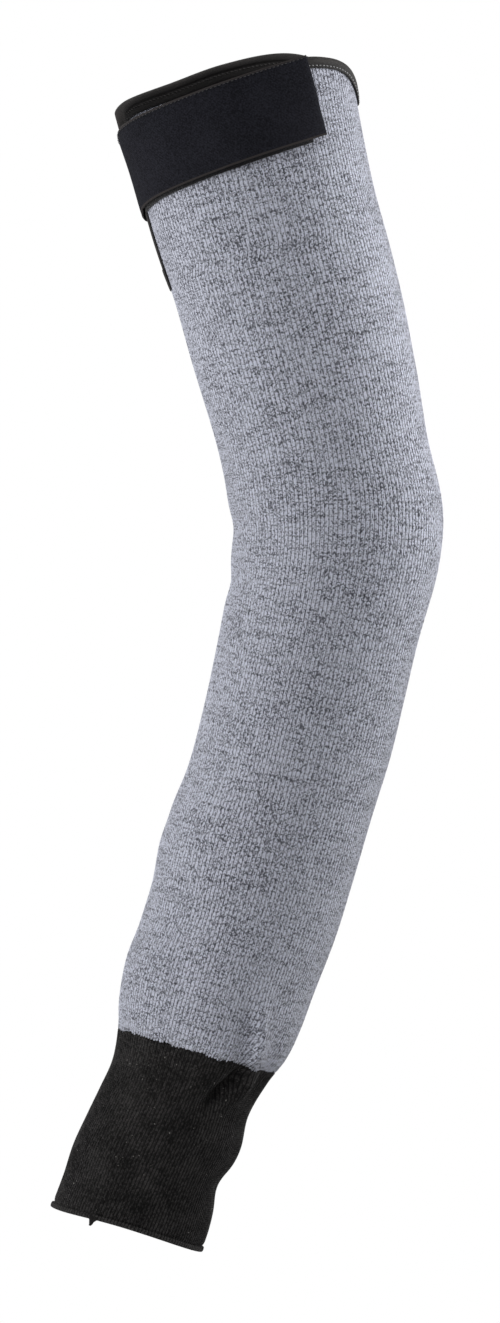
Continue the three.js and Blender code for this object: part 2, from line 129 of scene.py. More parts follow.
def curve_through(rows, at, column=1):
    """A smooth curve through a table: between two rows a cubic, whose slope at a row is the rise
    from the row before it to the row after it, over their distance."""
    places = rows[:, 0].astype(float)
    values = rows[:, column].astype(float)
    ahead = np.minimum(np.arange(len(rows)) + 1, len(rows) - 1)
    behind = np.maximum(np.arange(len(rows)) - 1, 0)
    slopes = (values[ahead] - values[behind]) / (places[ahead] - places[behind])
    at = np.clip(at, places[0], places[-1])
    i = np.clip(np.searchsorted(places, at, side="right") - 1, 0, len(rows) - 2)
    span = places[i + 1] - places[i]
    t = (at - places[i]) / span
    return (
        values[i] * (1 + 2 * t) * (1 - t) ** 2
        + slopes[i] * span * t * (1 - t) ** 2
        + values[i + 1] * t**2 * (3 - 2 * t)
        - slopes[i + 1] * span * t**2 * (1 - t)
    )


def ease(share):
    """0 below 0, 1 above 1, and three squares less two cubes between."""
    t = np.clip(share, 0, 1)
    return t * t * (3 - 2 * t)


def lean(station):
    """The centre line's angle from straight down, in radians: the upper arm's lean, less the
    elbow's bend, eased over its span, less the forearm's even curve and the wrist's turn."""
    elbow = ease((station - UPPER_LENGTH) / ELBOW_SPAN + 0.5)
    below_elbow = station - UPPER_LENGTH - ELBOW_SPAN / 2
    forearm = np.clip(below_elbow / (FOREARM_LENGTH - ELBOW_SPAN / 2), 0, 1)
    wrist = ease((station - SEAM) / WRIST_SPAN + 0.5)
    return np.radians(
        UPPER_LEAN - ELBOW_BEND * elbow - FOREARM_CURVE * forearm - WRIST_TURN * wrist
    )


LINE_START = -60.0
LINE_STATIONS = np.arange(LINE_START, HEM + 61)
LINE_X = np.concatenate([[0], np.cumsum(np.sin(lean(LINE_STATIONS[:-1] + 0.5)))])
LINE_Z = np.concatenate([[0], np.cumsum(-np.cos(lean(LINE_STATIONS[:-1] + 0.5)))])


def centre(station):
    """The centre line's place at a station, summed in 1 mm steps along its lean."""
    x = np.interp(station, LINE_STATIONS, LINE_X) - np.interp(GRIP, LINE_STATIONS, LINE_X)
    z = np.interp(station, LINE_STATIONS, LINE_Z) - np.interp(GRIP, LINE_STATIONS, LINE_Z)
    return x, z


def on_tube(station, around):
    """The cloth's outer face: an oval square to the centre line with its own half size on each
    side, pushed in by each fold's bell curve. around is in degrees, 0 right, 90 front, 180 left."""
    station, around = np.broadcast_arrays(np.asarray(station, float), np.asarray(around, float))
    cos = np.cos(np.radians(around))
    sin = np.sin(np.radians(around))
    fold = np.zeros(station.shape)
    for at, turn, half_long, half_wide, slant, deep in FOLDS:
        down = (station - at) / half_long
        off = (around - turn - slant * down + 180) % 360 - 180
        fold -= deep * np.exp(-(down**2) - (off / half_wide) ** 2)
    left, right, front, back = (curve_through(ARM_SECTIONS, station, k) for k in (1, 2, 3, 4))
    across = (np.where(cos < 0, left, right) + fold) * cos
    forward = (np.where(sin < 0, back, front) + fold) * sin
    x, z = centre(station)
    tilt = lean(station)
    return np.stack([x + across * np.cos(tilt), -forward, z + across * np.sin(tilt)], -1)


def cloth_frame(station, around):
    """The cloth's unit directions at a place: down the arm, round it, and out of the cloth."""
    down = on_tube(station + 0.5, around) - on_tube(station - 0.5, around)
    round_ = on_tube(station, around + 0.5) - on_tube(station, around - 0.5)
    out = np.cross(round_, down)
    return tuple(v / np.linalg.norm(v, axis=-1, keepdims=True) for v in (down, round_, out))


def off_cloth(station, around, height):
    """The place that many millimetres out of the cloth's outer face, along its normal."""
    station, around, height = np.broadcast_arrays(
        np.asarray(station, float), np.asarray(around, float), np.asarray(height, float)
    )
    out = cloth_frame(station, around)[2]
    return on_tube(station, around) + out * height[..., None]


def degrees_per_mm(station, around):
    """How far a millimetre round the arm turns, in degrees."""
    step = on_tube(station, np.asarray(around) + 0.5) - on_tube(station, np.asarray(around) - 0.5)
    return 1 / np.linalg.norm(step, axis=-1)


def mesh_of(name, points, faces, uv, smooth=True):
    """A mesh object at the origin from points in millimetres, a list of face arrays, and one UV
    pair for each corner of each face, in the same order."""
    mesh = bpy.data.meshes.new(name)
    mesh.from_pydata(points * 0.001, [], [f for group in faces for f in group.tolist()])
    layer = mesh.uv_layers.new(name="UVMap")
    layer.data.foreach_set("uv", np.asarray(uv, np.float32).ravel())
    mesh.polygons.foreach_set("use_smooth", np.full(len(mesh.polygons), smooth))
    mesh.update()
    piece = bpy.data.objects.new(name, mesh)
    bpy.context.scene.collection.objects.link(piece)
    return piece


def cloth_sheet(name, outer, inner, uv, welded_from=None):
    """A closed sheet from two grids of points, rows down the arm and columns round it, joined by
    strips along all four edges. From the row welded_from on, the first and last columns are one."""
    rows, columns = outer.shape[:2]
    index = np.arange(rows * columns).reshape(rows, columns)
    if welded_from is not None:
        index[welded_from:, -1] = index[welded_from:, 0]
    flat = np.arange(rows * columns).reshape(rows, columns)
    shift = rows * columns

    def quads(a, b, c, d):
        return np.stack([np.ravel(x) for x in (a, b, c, d)], -1)

    def both(grid):
        face = quads(grid[:-1, :-1], grid[:-1, 1:], grid[1:, 1:], grid[1:, :-1])
        low, high = grid + shift, grid
        top = quads(low[0, :-1], low[0, 1:], high[0, 1:], high[0, :-1])
        bottom = quads(low[-1, :-1], high[-1, :-1], high[-1, 1:], low[-1, 1:])
        open_rows = slice(0, rows if welded_from is None else welded_from + 1)
        first = grid[open_rows, 0]
        last = grid[open_rows, -1]
        sides = [
            quads(first[:-1] + shift, first[:-1], first[1:], first[1:] + shift),
            quads(last[1:] + shift, last[1:], last[:-1], last[:-1] + shift),
        ]
        return np.vstack([face, face[:, ::-1] + shift, top, bottom, *sides])

    faces = both(index)
    corners = both(flat)
    uvs = np.vstack([uv.reshape(-1, 2), uv.reshape(-1, 2)])[corners.ravel()]
    points = np.vstack([outer.reshape(-1, 3), inner.reshape(-1, 3)])
    used = np.unique(faces)
    renumber = np.zeros(len(points), int)
    renumber[used] = np.arange(len(used))
    return mesh_of(name, points[used], [renumber[faces]], uvs)


def mouth_edge(around):
    """How far down the arm the mouth's edge lies."""
    return curve_through(MOUTH_EDGE, around)


SLIT_LENGTH = 82.0
SLIT_GAP = 6.0
SLIT_TAPER = 5.0
SLIT_CORNER = 6.0


def slit_half(station):
    """Half the slit's width in degrees: even as far as the taper, then narrowing to nothing."""
    share = np.clip((SLIT_LENGTH - station) / SLIT_TAPER, 0, 1)
    return SLIT_GAP / 2 * share * degrees_per_mm(station, 180.0)


def cloth_edge(around):
    """The cloth's cut edge: the mouth's, with each corner at the slit a quarter of a circle."""
    edge = mouth_edge(around)
    from_slit = (180 - np.abs(around)) / degrees_per_mm(edge, around) - SLIT_GAP / 2
    near = np.clip(SLIT_CORNER - from_slit, 0, SLIT_CORNER)
    return edge + SLIT_CORNER - np.sqrt(SLIT_CORNER**2 - near**2)


SKEW_SPAN = 70.0  # how far above the seam the rows begin to hang askew
SEAM_TILT = 3.0
HEM_TILT = 2.0  # besides the seam's
SEAM_LIFT = 3.4
HEM_LIFT = 1.3


def seam_skew(station, around):
    """How far down the rows hang near the cuff: the tilt, lower on the left and higher on the
    right by the cosine, less a lift all round the seam, less a bell-shaped lift of the hem's
    front."""
    near = ease(1 - (SEAM - station) / SKEW_SPAN)
    low = np.clip((station - SEAM) / CUFF_LENGTH, 0, 1)
    tilt = (SEAM_TILT * near + HEM_TILT * low) * np.cos(np.radians(around))
    front = np.exp(-(((around - 112) / 40) ** 2))
    return -tilt - SEAM_LIFT * (near - low) - HEM_LIFT * low * front


WALES = 152  # the columns of stitches round the sleeve
COURSE = 0.9  # the height of a row of stitches
KNIT_WALL = 2.0
KNIT_MAP_LENGTH = 700.0  # what the UV map's height covers

wale_columns = np.arange(2 * WALES + 1)
ridge = np.where(wale_columns % 2 == 1, 0.07, -0.07)  # each wale stands up from its two grooves
slit_rows = np.linspace(0, 1, 18)
plain_rows = np.linspace(SLIT_LENGTH, SEAM + 0.5, 84)
share_round = wale_columns / WALES - 1
sleeve_stations = np.empty((len(slit_rows) + len(plain_rows), len(wale_columns)))
sleeve_around = np.empty_like(sleeve_stations)
for row, share in enumerate(slit_rows):
    start = cloth_edge(share_round * (180 - slit_half(0.0)))
    sleeve_stations[row] = start + (SLIT_LENGTH - SLIT_TAPER - start) * share
    sleeve_around[row] = share_round * (180 - slit_half(sleeve_stations[row]))
for row, station in enumerate(plain_rows, len(slit_rows)):
    sleeve_around[row] = share_round * (180 - slit_half(station))
    sleeve_stations[row] = station + seam_skew(station, sleeve_around[row])
yarn = np.random.default_rng(7)
hang = yarn.normal(0, 0.3, len(wale_columns)) + np.where(wale_columns % 2 == 1, 0.45, -0.25)
hang += np.interp(wale_columns, np.linspace(0, 2 * WALES, 60), yarn.normal(0, 0.5, 60))
hang += 0.8 * np.exp(-(((sleeve_around[-1] - 43) / 4) ** 2))  # a fold laps over the cuff
hang[-1] = hang[0]
sleeve_stations[-1] += hang  # the last course loops over the cuff's first, wale by wale
# The wall thins over its last 9 mm, where the cuff's first rows lie inside it.
thinning = ease((sleeve_stations - seam_skew(SEAM, sleeve_around) - SEAM + 9) / 8)
sleeve_uv = np.stack(
    [
        np.broadcast_to(share_round / 2 + 0.5, sleeve_stations.shape),
        1 - (sleeve_stations - LINE_START) / KNIT_MAP_LENGTH,
    ],
    -1,
)
sleeve = cloth_sheet(
    "knit_sleeve",
    off_cloth(sleeve_stations, sleeve_around, ridge),
    off_cloth(sleeve_stations, sleeve_around, -KNIT_WALL + 1.2 * thinning + 0.3 * ridge),
    sleeve_uv,
    welded_from=len(slit_rows),
)


class Wire:
    """One socket of a material's nodes. Arithmetic on wires and numbers adds Math nodes."""

    def __init__(self, tree, socket):
        self.tree = tree
        self.socket = socket

    def node(self, kind, settings=None, inputs=None, output=0):
        """Adds a node: its settings first, such as a Math node's operation, then its sockets,
        each a number, a colour or a wire. Returns one of its outputs as a wire."""
        made = self.tree.nodes.new("ShaderNode" + kind)
        for key, value in (settings or {}).items():
            setattr(made, key, value)
        for key, value in (inputs or {}).items():
            if isinstance(value, Wire):
                self.tree.links.new(value.socket, made.inputs[key])
            else:
                made.inputs[key].default_value = value
        return Wire(self.tree, made.outputs[output])

    def maths(self, operation, *values):
        return self.node("Math", {"operation": operation}, dict(enumerate(values)))

    def __add__(self, other):
        return self.maths("ADD", self, other)

    def __sub__(self, other):
        return self.maths("SUBTRACT", self, other)

    def __rsub__(self, other):
        return self.maths("SUBTRACT", other, self)

    def __mul__(self, other):
        return self.maths("MULTIPLY", self, other)

    __radd__ = __add__
    __rmul__ = __mul__

    def part(self):
        return self.maths("FRACT", self)

    def whole(self):
        return self.maths("FLOOR", self)

    def size(self):
        return self.maths("ABSOLUTE", self)

    def arch(self):
        """Half a sine wave over each whole step: 0 at its ends and 1 in its middle."""
        turn = self.part() * np.pi
        return turn.maths("SINE", turn)

    def clip(self):
        return self.node("Clamp", {}, {"Value": self})

    def smooth_step(self, low, high):
        return self.node(
            "MapRange", {"interpolation_type": "SMOOTHSTEP"}, {"Value": self, 1: low, 2: high}
        )

    def noise(self, scale, detail=2.0, roughness=0.5):
        inputs = {"Vector": self, "Scale": scale, "Detail": detail, "Roughness": roughness}
        return self.node("TexNoise", {}, inputs)

    def dice(self):
        """An even random number for each whole cell of a vector."""
        return self.node("TexWhiteNoise", {"noise_dimensions": "3D"}, {"Vector": self})

    def vector(self, x, y, z=0.0):
        return self.node("CombineXYZ", {}, {0: x, 1: y, 2: z})

    def blend(self, low, high):
        """The colour low where this is 0 and high where it is 1."""
        return self.node(
            "Mix", {"data_type": "RGBA"}, {"Factor": self, 6: low, 7: high}, output=2
        )


def new_finish(name, **constants):
    """A material whose shader has these constant sockets. Returns it, its shader, and wires of
    the UV map's two numbers and of the place in millimetres."""
    material = bpy.data.materials.new(name)
    material.use_nodes = True
    tree = material.node_tree
    shader = next(n for n in tree.nodes if n.type == "BSDF_PRINCIPLED")
    for socket, value in constants.items():
        shader.inputs[socket.replace("_", " ")].default_value = value
    start = Wire(tree, None)
    uv = start.node("UVMap", {"uv_map": "UVMap"})
    u = uv.node("SeparateXYZ", {}, {0: uv}, output=0)
    v = uv.node("SeparateXYZ", {}, {0: uv}, output=1)
    place = start.node("TexCoord", output="Object")
    place = place.node("VectorMath", {"operation": "SCALE"}, {0: place, "Scale": 1000.0})
    return material, shader, u, v, place


def feed(shader, socket, wire):
    wire.tree.links.new(wire.socket, shader.inputs[socket])


def relief(shader, height, distance):
    """Feeds a height, 0 to 1, to the shader's normal through a bump that many metres deep."""
    inputs = {"Height": height, "Distance": distance, "Strength": 1.0}
    feed(shader, "Normal", height.node("Bump", {}, inputs))


def stitch_pattern(u, v, wales, courses, wander):
    """Plain knitting: in each wale the two legs of every loop lean outwards, so the rows make
    chevrons, and each wale wanders by about that share of its width. Returns how high the yarn
    stands, 0 in the gap between two wales and lower between two legs and two loops, a vector
    that is whole over each leg, and the wale and the row as numbers."""
    drift = u.vector(u * wales * 0.45, v * courses * 0.3).noise(1.0, 1.0)
    wale = u * wales + drift * wander * 4
    across = (wale.part() * 2 - 1).size()
    row = v * courses + across * 0.7
    groove = 1 - across.smooth_step(0.5, 0.95)
    centre_gap = across.smooth_step(0.0, 0.22) * 0.2 + 0.8
    loop = row.arch() * 0.45 + 0.55
    leg = u.vector((wale * 2).whole(), row.whole())
    return groove * centre_gap * loop, leg, wale, row


def knit_finish():
    """Pale blue-grey yarn with dark strands. A leg's tone comes from its own dice, from those of
    its finer strands, from streaks some ten stitches long in one row, and from broad patches."""
    material, shader, u, v, place = new_finish(
        "grey_protective_knit",
        Roughness=0.92,
        Sheen_Weight=0.25,
        Sheen_Roughness=0.5,
        Specular_IOR_Level=0.2,
    )
    height, leg, wale, row = stitch_pattern(u, v, WALES, KNIT_MAP_LENGTH / COURSE, 0.06)
    own = leg.dice()
    streak = u.vector(wale * 0.1, row.whole() * 3.7).noise(1.0, 1.0).smooth_step(0.2, 0.7)
    strand = u.vector((wale * 3.4).whole(), (row * 1.5).whole(), 7.0).dice()
    patch = place.noise(0.04, 1.0)
    tone = own * 0.25 + strand * 0.7 + streak * 0.26 + patch * 0.12
    pale = tone.smooth_step(0.31, 0.86)
    yarn_colour = pale.blend((0.115, 0.117, 0.145, 1), (0.75, 0.775, 0.9, 1))
    # Painted shade: the yarn's colour is darkened in the gaps between wales and between legs and
    # loops.
    stitch_gap_shade = (height * 0.56 + 0.47).clip()
    inputs = {"Factor": 1.0, 6: yarn_colour, 7: stitch_gap_shade.vector(stitch_gap_shade, stitch_gap_shade, stitch_gap_shade)}
    settings = {"data_type": "RGBA", "blend_type": "MULTIPLY"}
    feed(shader, "Base Color", stitch_gap_shade.node("Mix", settings, inputs, output=2))
    relief(shader, height * 0.75 + own * 0.25, 0.0005)
    return material


grey_knit = knit_finish()
sleeve.data.materials.append(grey_knit)
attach(sleeve, "root")
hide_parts("sleeve_body")


# The wrist cuff
# A tighter tube of black elasticated yarn in fine ribs, knitted on from the grey without a seam.
# Its free end is turned in and overlocked, which leaves a thin roll round the hem.

RIBS = 140
RIB_COURSE = 0.95
CUFF_WALL = 2.4
HEM_ROLL = 1.2
CUFF_MAP_LENGTH = 140.0  # what the UV map's height covers, from a little above the seam
CUFF_MAP_START = SEAM - 20

rib_columns = np.arange(2 * RIBS + 1)
rib_around = rib_columns / RIBS * 180 - 180
cuff_rows = np.concatenate([
    [SEAM - 3.5, SEAM - 1.2, SEAM + 0.4, SEAM + 1.8],
    np.linspace(SEAM + 4, HEM - 5, 46),
    [HEM - 3.8, HEM - 3.0, HEM - 2.5],
])
hem_turn = np.linspace(0, np.pi, 9)[1:]  # half a circle round the hem's roll
hem_rows = HEM - 1.3 - HEM_ROLL * np.cos(hem_turn)
cuff_stations = np.concatenate([cuff_rows, hem_rows])[:, None]
tuck = 1 - ease((cuff_stations - SEAM + 0.5) / 2.5)
above_roll = -0.5 * ease((cuff_rows - HEM + 4.5) / 2)
hem_swell = np.concatenate([above_roll, 0.8 * np.sin(hem_turn) ** 0.6])[:, None]
rib_height = np.where(rib_columns % 2 == 1, 0.18, -0.18) * (1 - np.abs(hem_swell))
cuff_skewed = cuff_stations + seam_skew(cuff_stations, rib_around)
uneven = 0.5 * np.sin(np.radians(rib_around * 3 + 40))
cuff_skewed += uneven * ease((cuff_stations - SEAM - 40) / 45)
cuff_uv = np.stack(
    [
        np.broadcast_to(rib_columns / (2 * RIBS), cuff_skewed.shape),
        np.broadcast_to(
            1 - (cuff_stations - CUFF_MAP_START) / CUFF_MAP_LENGTH, cuff_skewed.shape
        ),
    ],
    -1,
)
cuff = cloth_sheet(
    "rib_cuff",
    off_cloth(cuff_skewed, rib_around, rib_height + hem_swell - 0.95 * tuck),
    off_cloth(cuff_skewed, rib_around, -CUFF_WALL - hem_swell + 0.3 * tuck),
    cuff_uv,
    welded_from=0,
)


def rib_finish():
    """Black elasticated yarn: fine ribs of small loops, darkened down the grooves between the ribs
    by painted shade, with a painted highlight on the hem's roll and a scatter of pale lint."""
    material, shader, u, v, place = new_finish(
        "black_rib_knit",
        Roughness=0.9,
        Sheen_Weight=0.06,
        Sheen_Roughness=0.45,
        Specular_IOR_Level=0.15,
    )
    height, leg, *_ = stitch_pattern(u, v, RIBS, CUFF_MAP_LENGTH / RIB_COURSE, 0.05)
    own = leg.dice()
    fleck = place.noise(1.3, 2.0, 0.6)
    patch = place.noise(0.07, 2.0, 0.55)
    # Painted highlight: the yarn is lightened over the last 2 mm above the hem, along the roll.
    hem_roll_highlight = 1 - v.smooth_step(0.231, 0.24)  # the last 2 mm above the hem
    tone = (own * 0.3 + fleck * 0.5 + patch * 0.5 + hem_roll_highlight * 0.12).smooth_step(0.4, 0.95)
    # Painted shade: the colour darkens down the grooves between the ribs and is palest on their
    # crests.
    rib_groove_shade = (height * 1.5 - 0.25).clip() * 0.85 + 0.15
    yarn_colour = (tone * rib_groove_shade).blend((0.004, 0.0037, 0.0037, 1), (0.062, 0.0585, 0.058, 1))
    lint = place.noise(0.9, 0.0).smooth_step(0.83, 0.85)
    feed(shader, "Base Color", lint.blend(yarn_colour, (0.22, 0.21, 0.2, 1)))
    relief(shader, height * 0.8 + fleck * 0.2, 0.0006)
    return material


black_rib = rib_finish()
cuff.data.materials.append(black_rib)
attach(cuff, "root")
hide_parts("wrist_cuff")


# The edge binding
# A black tape folded over the knit's raw edge, round the mouth and down both sides of the slit.
# One row of thread holds it, pale along the mouth outside and dark within. Its fold is a bead.

BINDING_WIDTH = 3.8
EDGE_STITCH = 2.12
BINDING_END = SLIT_LENGTH - 4.5  # its ends lie under the tabs at the slit's tip


def cut_edge():
    """The path of the cloth's cut edge as stations and degrees: up the slit's back side from near
    its tip, round the corner, along the mouth, round the other corner and down the front side."""
    bend = np.linspace(0, np.pi / 2, 14)
    from_middle = SLIT_GAP / 2 + SLIT_CORNER * (1 - np.cos(bend))
    corner = from_middle * degrees_per_mm(4.0, 180.0)
    down = SLIT_CORNER * (1 - np.sin(bend))
    mouth = np.linspace(corner[-1] - 180, 180 - corner[-1], 330)[1:-1]
    back = np.linspace(BINDING_END, mouth_edge(corner[0] - 180) + down[0], 76)[:-1]
    front = np.linspace(mouth_edge(180 - corner[0]) + down[0], BINDING_END, 76)[1:]
    stations = [back, mouth_edge(corner - 180) + down, mouth_edge(mouth)]
    stations += [(mouth_edge(180 - corner) + down)[::-1], front]
    arounds = [slit_half(back) - 180, corner - 180, mouth, 180 - corner[::-1]]
    arounds += [180 - slit_half(front)]
    return np.concatenate(stations), np.concatenate(arounds)


edge_stations, edge_arounds = cut_edge()


def beside_edge(inset):
    """The path that many millimetres into the cloth from its cut edge, square to the edge."""
    turn = degrees_per_mm(edge_stations, edge_arounds)
    down = np.gradient(edge_stations)
    round_ = np.gradient(edge_arounds) / turn
    size = np.hypot(down, round_)
    inset = np.asarray(inset, float)
    return edge_stations + inset * round_ / size, edge_arounds - inset * down / size * turn


fold_over = np.linspace(0, np.pi, 11)[1:-1]
# Each row: distance in from the cut edge, then height off the knit's outer face, of the tape's
# outer side and of the side against the knit, from the outside round the bead to the inside.
binding_section = np.vstack([
    [(3.8, 0.5, 3.7, 0.4), (4.0, 0.8, 3.7, 0.41), (3.8, 1.1, 3.6, 0.41), (3.3, 1.2, 3.2, 0.42)],
    [(2.8, 1.0, 2.8, 0.42), (2.3, 1.2, 2.3, 0.42), (1.6, 1.42, 1.6, 0.42), (0.8, 1.55, 0.8, 0.42)],
    np.column_stack([
        -1.9 * np.sin(fold_over),
        2.6 * np.cos(fold_over) - 1,
        -0.45 * np.sin(fold_over),
        1.42 * np.cos(fold_over) - 1,
    ]),
    [(0.8, -3.55, 0.8, -2.42), (1.3, -3.4, 1.3, -2.42), (1.8, -2.9, 1.8, -2.42)],
    [(2.2, -2.75, 2.2, -2.42), (2.6, -3.0, 2.6, -2.42), (3.4, -3.2, 3.4, -2.42)],
    [(4.8, -3.15, 4.7, -2.42), (6.0, -3.0, 5.8, -2.41)],
    [(6.2, -2.75, 5.9, -2.41), (6.0, -2.5, 5.9, -2.4)],
])
from_slit = (180 - np.abs(edge_arounds)) / degrees_per_mm(edge_stations, edge_arounds)
flatter = 0.55 + 0.45 * ease((from_slit - 3.5) / 6)  # the tape is pulled tighter down the slit
section_heights = binding_section[:, [1, 3], None]
section_heights = np.where(section_heights > 0, section_heights * flatter, section_heights)
outer_place = beside_edge(binding_section[:, 0][:, None])
inner_place = beside_edge(binding_section[:, 2][:, None])
tape_outer = off_cloth(*outer_place, section_heights[:, 0])
tape_inner = off_cloth(*inner_place, section_heights[:, 1])
bead_crest = tape_outer[12]
tape_run = np.linalg.norm(np.diff(bead_crest, axis=0), axis=1)
tape_length = np.concatenate([[0], np.cumsum(tape_run)])
tape_uv = np.broadcast_arrays(tape_length / 10, np.linspace(0, 1, len(binding_section))[:, None])
edge_tape = cloth_sheet(
    "edge_binding_tape", tape_outer[::-1], tape_inner[::-1], np.stack(tape_uv, -1)[::-1]
)


def tape_finish(name, base, fold_wear_and_highlight, cord, roughness):
    """A close woven tape: fine cords across it, a softer weft along it, and paler where it is
    folded, at the middle of its width: worn threads with a painted highlight along the bead."""
    material, shader, u, v, place = new_finish(
        name, Roughness=roughness, Sheen_Weight=0.04, Sheen_Roughness=0.4, Specular_IOR_Level=0.25
    )
    fleck = place.noise(1.6, 2.0, 0.6)
    patch = place.noise(0.09)
    ribs = (u * cord).arch()
    tone = (ribs * 0.2 + fleck * 0.5 + patch * 0.4).smooth_step(0.3, 0.85)
    from_fold = (v - 0.44).size()  # the fold's crest lies at 0.44 of the tape's width
    # The bead is paler than the flanges: wear plus a painted highlight.
    tone = tone * (1 - from_fold.smooth_step(0.14, 0.24) * 0.9)
    feed(shader, "Base Color", tone.blend(base, fold_wear_and_highlight))
    relief(shader, ribs * 0.4 + fleck * 0.6, 0.0002)
    return material


# The second colour is the fold's: worn threads plus a painted highlight along the bead.
binding_tape = tape_finish(
    "black_binding_tape", (0.012, 0.0108, 0.0105, 1), (0.056, 0.0505, 0.049, 1), 16.0, 0.66
)
edge_tape.data.materials.append(binding_tape)
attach(edge_tape, "root")
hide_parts("mouth_binding", "slit_binding")


def threads(name, lines, outs, radii, sides=6):
    """Many short lengths of thread as one mesh. lines and outs hold each one's centre line and
    outward direction, thread by step by xyz. Round each step goes a ring of that step's radius,
    the outward direction times cosine plus the sideways one times sine, and the ends are closed."""
    count, steps = lines.shape[:2]
    along = np.gradient(lines, axis=1)
    along /= np.linalg.norm(along, axis=-1, keepdims=True)
    side = np.cross(along, outs)
    side /= np.linalg.norm(side, axis=-1, keepdims=True)
    up = np.cross(side, along)
    turn = np.linspace(0, 2 * np.pi, sides, endpoint=False)[:, None]
    ring = up[:, :, None] * np.cos(turn) + side[:, :, None] * np.sin(turn)
    points = lines[:, :, None] + ring * np.reshape(radii, (1, -1, 1, 1))
    base = np.arange(count * steps * sides).reshape(count, steps, sides)
    after = np.roll(base, -1, 2)
    walls = np.stack([base[:, :-1], base[:, 1:], after[:, 1:], after[:, :-1]], -1)
    walls = walls.reshape(-1, 4)
    first, last = base[:, 0], base[:, -1, ::-1]
    corners = len(walls) * 4 + (len(first) + len(last)) * sides
    return mesh_of(name, points.reshape(-1, 3), [walls, first, last], np.zeros((corners, 2)))


def sewn_line(name, stations, arounds, height, pitch, share, radius, side=1, slant=0.0):
    """A row of stitches along a path of places on the cloth: one for each pitch, each a share of
    it long, a thread whose middle stands off the tape and whose ends sink into it. slant sets
    each stitch's far end that many millimetres further down the arm."""
    height = height + 0 * stations
    points = off_cloth(stations, arounds, height)
    travelled = np.concatenate([[0], np.cumsum(np.linalg.norm(np.diff(points, axis=0), axis=1))])
    starts = np.arange(pitch / 2, travelled[-1] - pitch * share, pitch)
    t = np.linspace(0, 1, 6)
    at = starts[:, None] + t * pitch * share
    s = np.interp(at, travelled, stations) + slant * (t - 0.5)
    a = np.interp(at, travelled, arounds)
    arch = np.sqrt(np.sin(np.pi * t))
    lines = off_cloth(s, a, np.interp(at, travelled, height) + side * (0.5 * arch - 0.3))
    outs = cloth_frame(s, a)[2] * side
    return threads(name, lines, outs, radius * (0.55 + 0.45 * np.sin(np.pi * t)))


def thread_finish(name, colour, dull):
    """Twisted sewing thread: its plies shown by tone and relief."""
    material, shader, *_, place = new_finish(name, Roughness=0.6, Specular_IOR_Level=0.3)
    twist = place.noise(3.0, 1.0)
    feed(shader, "Base Color", twist.smooth_step(0.35, 0.65).blend(dull, colour))
    relief(shader, twist, 0.0001)
    return material


pale_thread = thread_finish("pale_grey_thread", (0.55, 0.55, 0.56, 1), (0.3, 0.3, 0.31, 1))
dark_thread = thread_finish("dark_grey_thread", (0.06, 0.055, 0.055, 1), (0.025, 0.023, 0.023, 1))
down_slit = 80  # the points at each end of the edge's path that lie down the slit
mouth_row = [path[down_slit:-down_slit] for path in beside_edge(2.85)]
lining_row = beside_edge(2.9)
edge_stitches = [
    sewn_line("edge_stitches_outside", *mouth_row, 1.05, EDGE_STITCH, 0.5, 0.3),
    sewn_line(
        "edge_stitches_inside", *lining_row, -3.05, EDGE_STITCH, 0.7, 0.4, side=-1, slant=0.8
    ),
]
for row_of_stitches, thread in zip(edge_stitches, (pale_thread, dark_thread)):
    row_of_stitches.data.materials.append(thread)
    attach(row_of_stitches, "root")


# The hem's yarn end
# The end of the yarn that closes the hem: a short tuft of five strands left standing
# out of its lower edge at the front.

TUFT_PLACE = 116.5
tuft_run = np.linspace(0, 1, 7)
tuft_drop = HEM - HEM_ROLL + np.outer([2.2, 3.4, 4.4, 3.8, 2.4], tuft_run)
tuft_stations = tuft_drop + seam_skew(HEM, TUFT_PLACE)
tuft_around = TUFT_PLACE + np.outer([3.4, 1.8, 0.2, -1.6, -3.0], 1 - 0.75 * tuft_run)
tuft_lines = off_cloth(tuft_stations, tuft_around, 0.2 + 0.4 * np.sin(tuft_run * 3))
tuft = threads(
    "hem_yarn_end",
    tuft_lines,
    cloth_frame(tuft_stations, tuft_around)[2],
    0.9 - 0.3 * tuft_run,
)
tuft.data.materials.append(black_rib)
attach(tuft, "root")


# The slit's tabs
# Two short pieces of the same tape lie across the slit's tip, one on each face of the cloth, so
# that the knit doesn't tear there.

tab_top = SLIT_LENGTH - SLIT_TAPER - BINDING_WIDTH
tab_rows = np.linspace(tab_top, SLIT_LENGTH + BINDING_WIDTH / 2, 9)[:, None]
tab_share = np.linspace(-1, 1, 25)[None, :]
tab_around = 180 + (SLIT_GAP / 2 + BINDING_WIDTH) * degrees_per_mm(tab_rows, 180.0) * tab_share
tab_rim = 1 - (1 - tab_share**8) * (1 - np.linspace(-1, 1, 9)[:, None] ** 6)
tab_down = np.linspace(0, 1, 9)[:, None]
tab_uv = np.stack(np.broadcast_arrays(tab_share * 0.6, 0.1 * tab_down), -1)
tab_rounding = 0.15 * tab_rim
tab_faces = [
    ("outside", 0.3, 1.15 - 0.45 * tab_down),
    ("inside", -3.6 + 0.8 * tab_down, -2.42),
]
for face, low, high in tab_faces:
    tab = cloth_sheet(
        f"slit_tab_{face}",
        off_cloth(tab_rows, tab_around, high - tab_rounding),
        off_cloth(tab_rows, tab_around, low + tab_rounding),
        tab_uv,
    )
    tab.data.materials.append(binding_tape)
    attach(tab, "root")


# The loop tape
# A patch of black pile tape sewn flat to the sleeve, from its front round to the slit's binding.
# The strap's hooks grip it, and its lower edge shows as a thin fuzzy line below the strap.

STRAP_WIDTH = 39.0
# Each row: a place round the arm, and the station of the strap's middle line there.
STRAP_PATH = np.array([
    (51, 13.8),
    (90, 16.4),
    (125, 19.0),
    (150, 21.3),
    (170, 24.4),
    (185, 27.9),
    (200, 29.9),
    (226, 35.5),
])


def strap_middle(around):
    """The station of the strap's middle line, which falls as it goes round to the back."""
    return curve_through(STRAP_PATH, around)


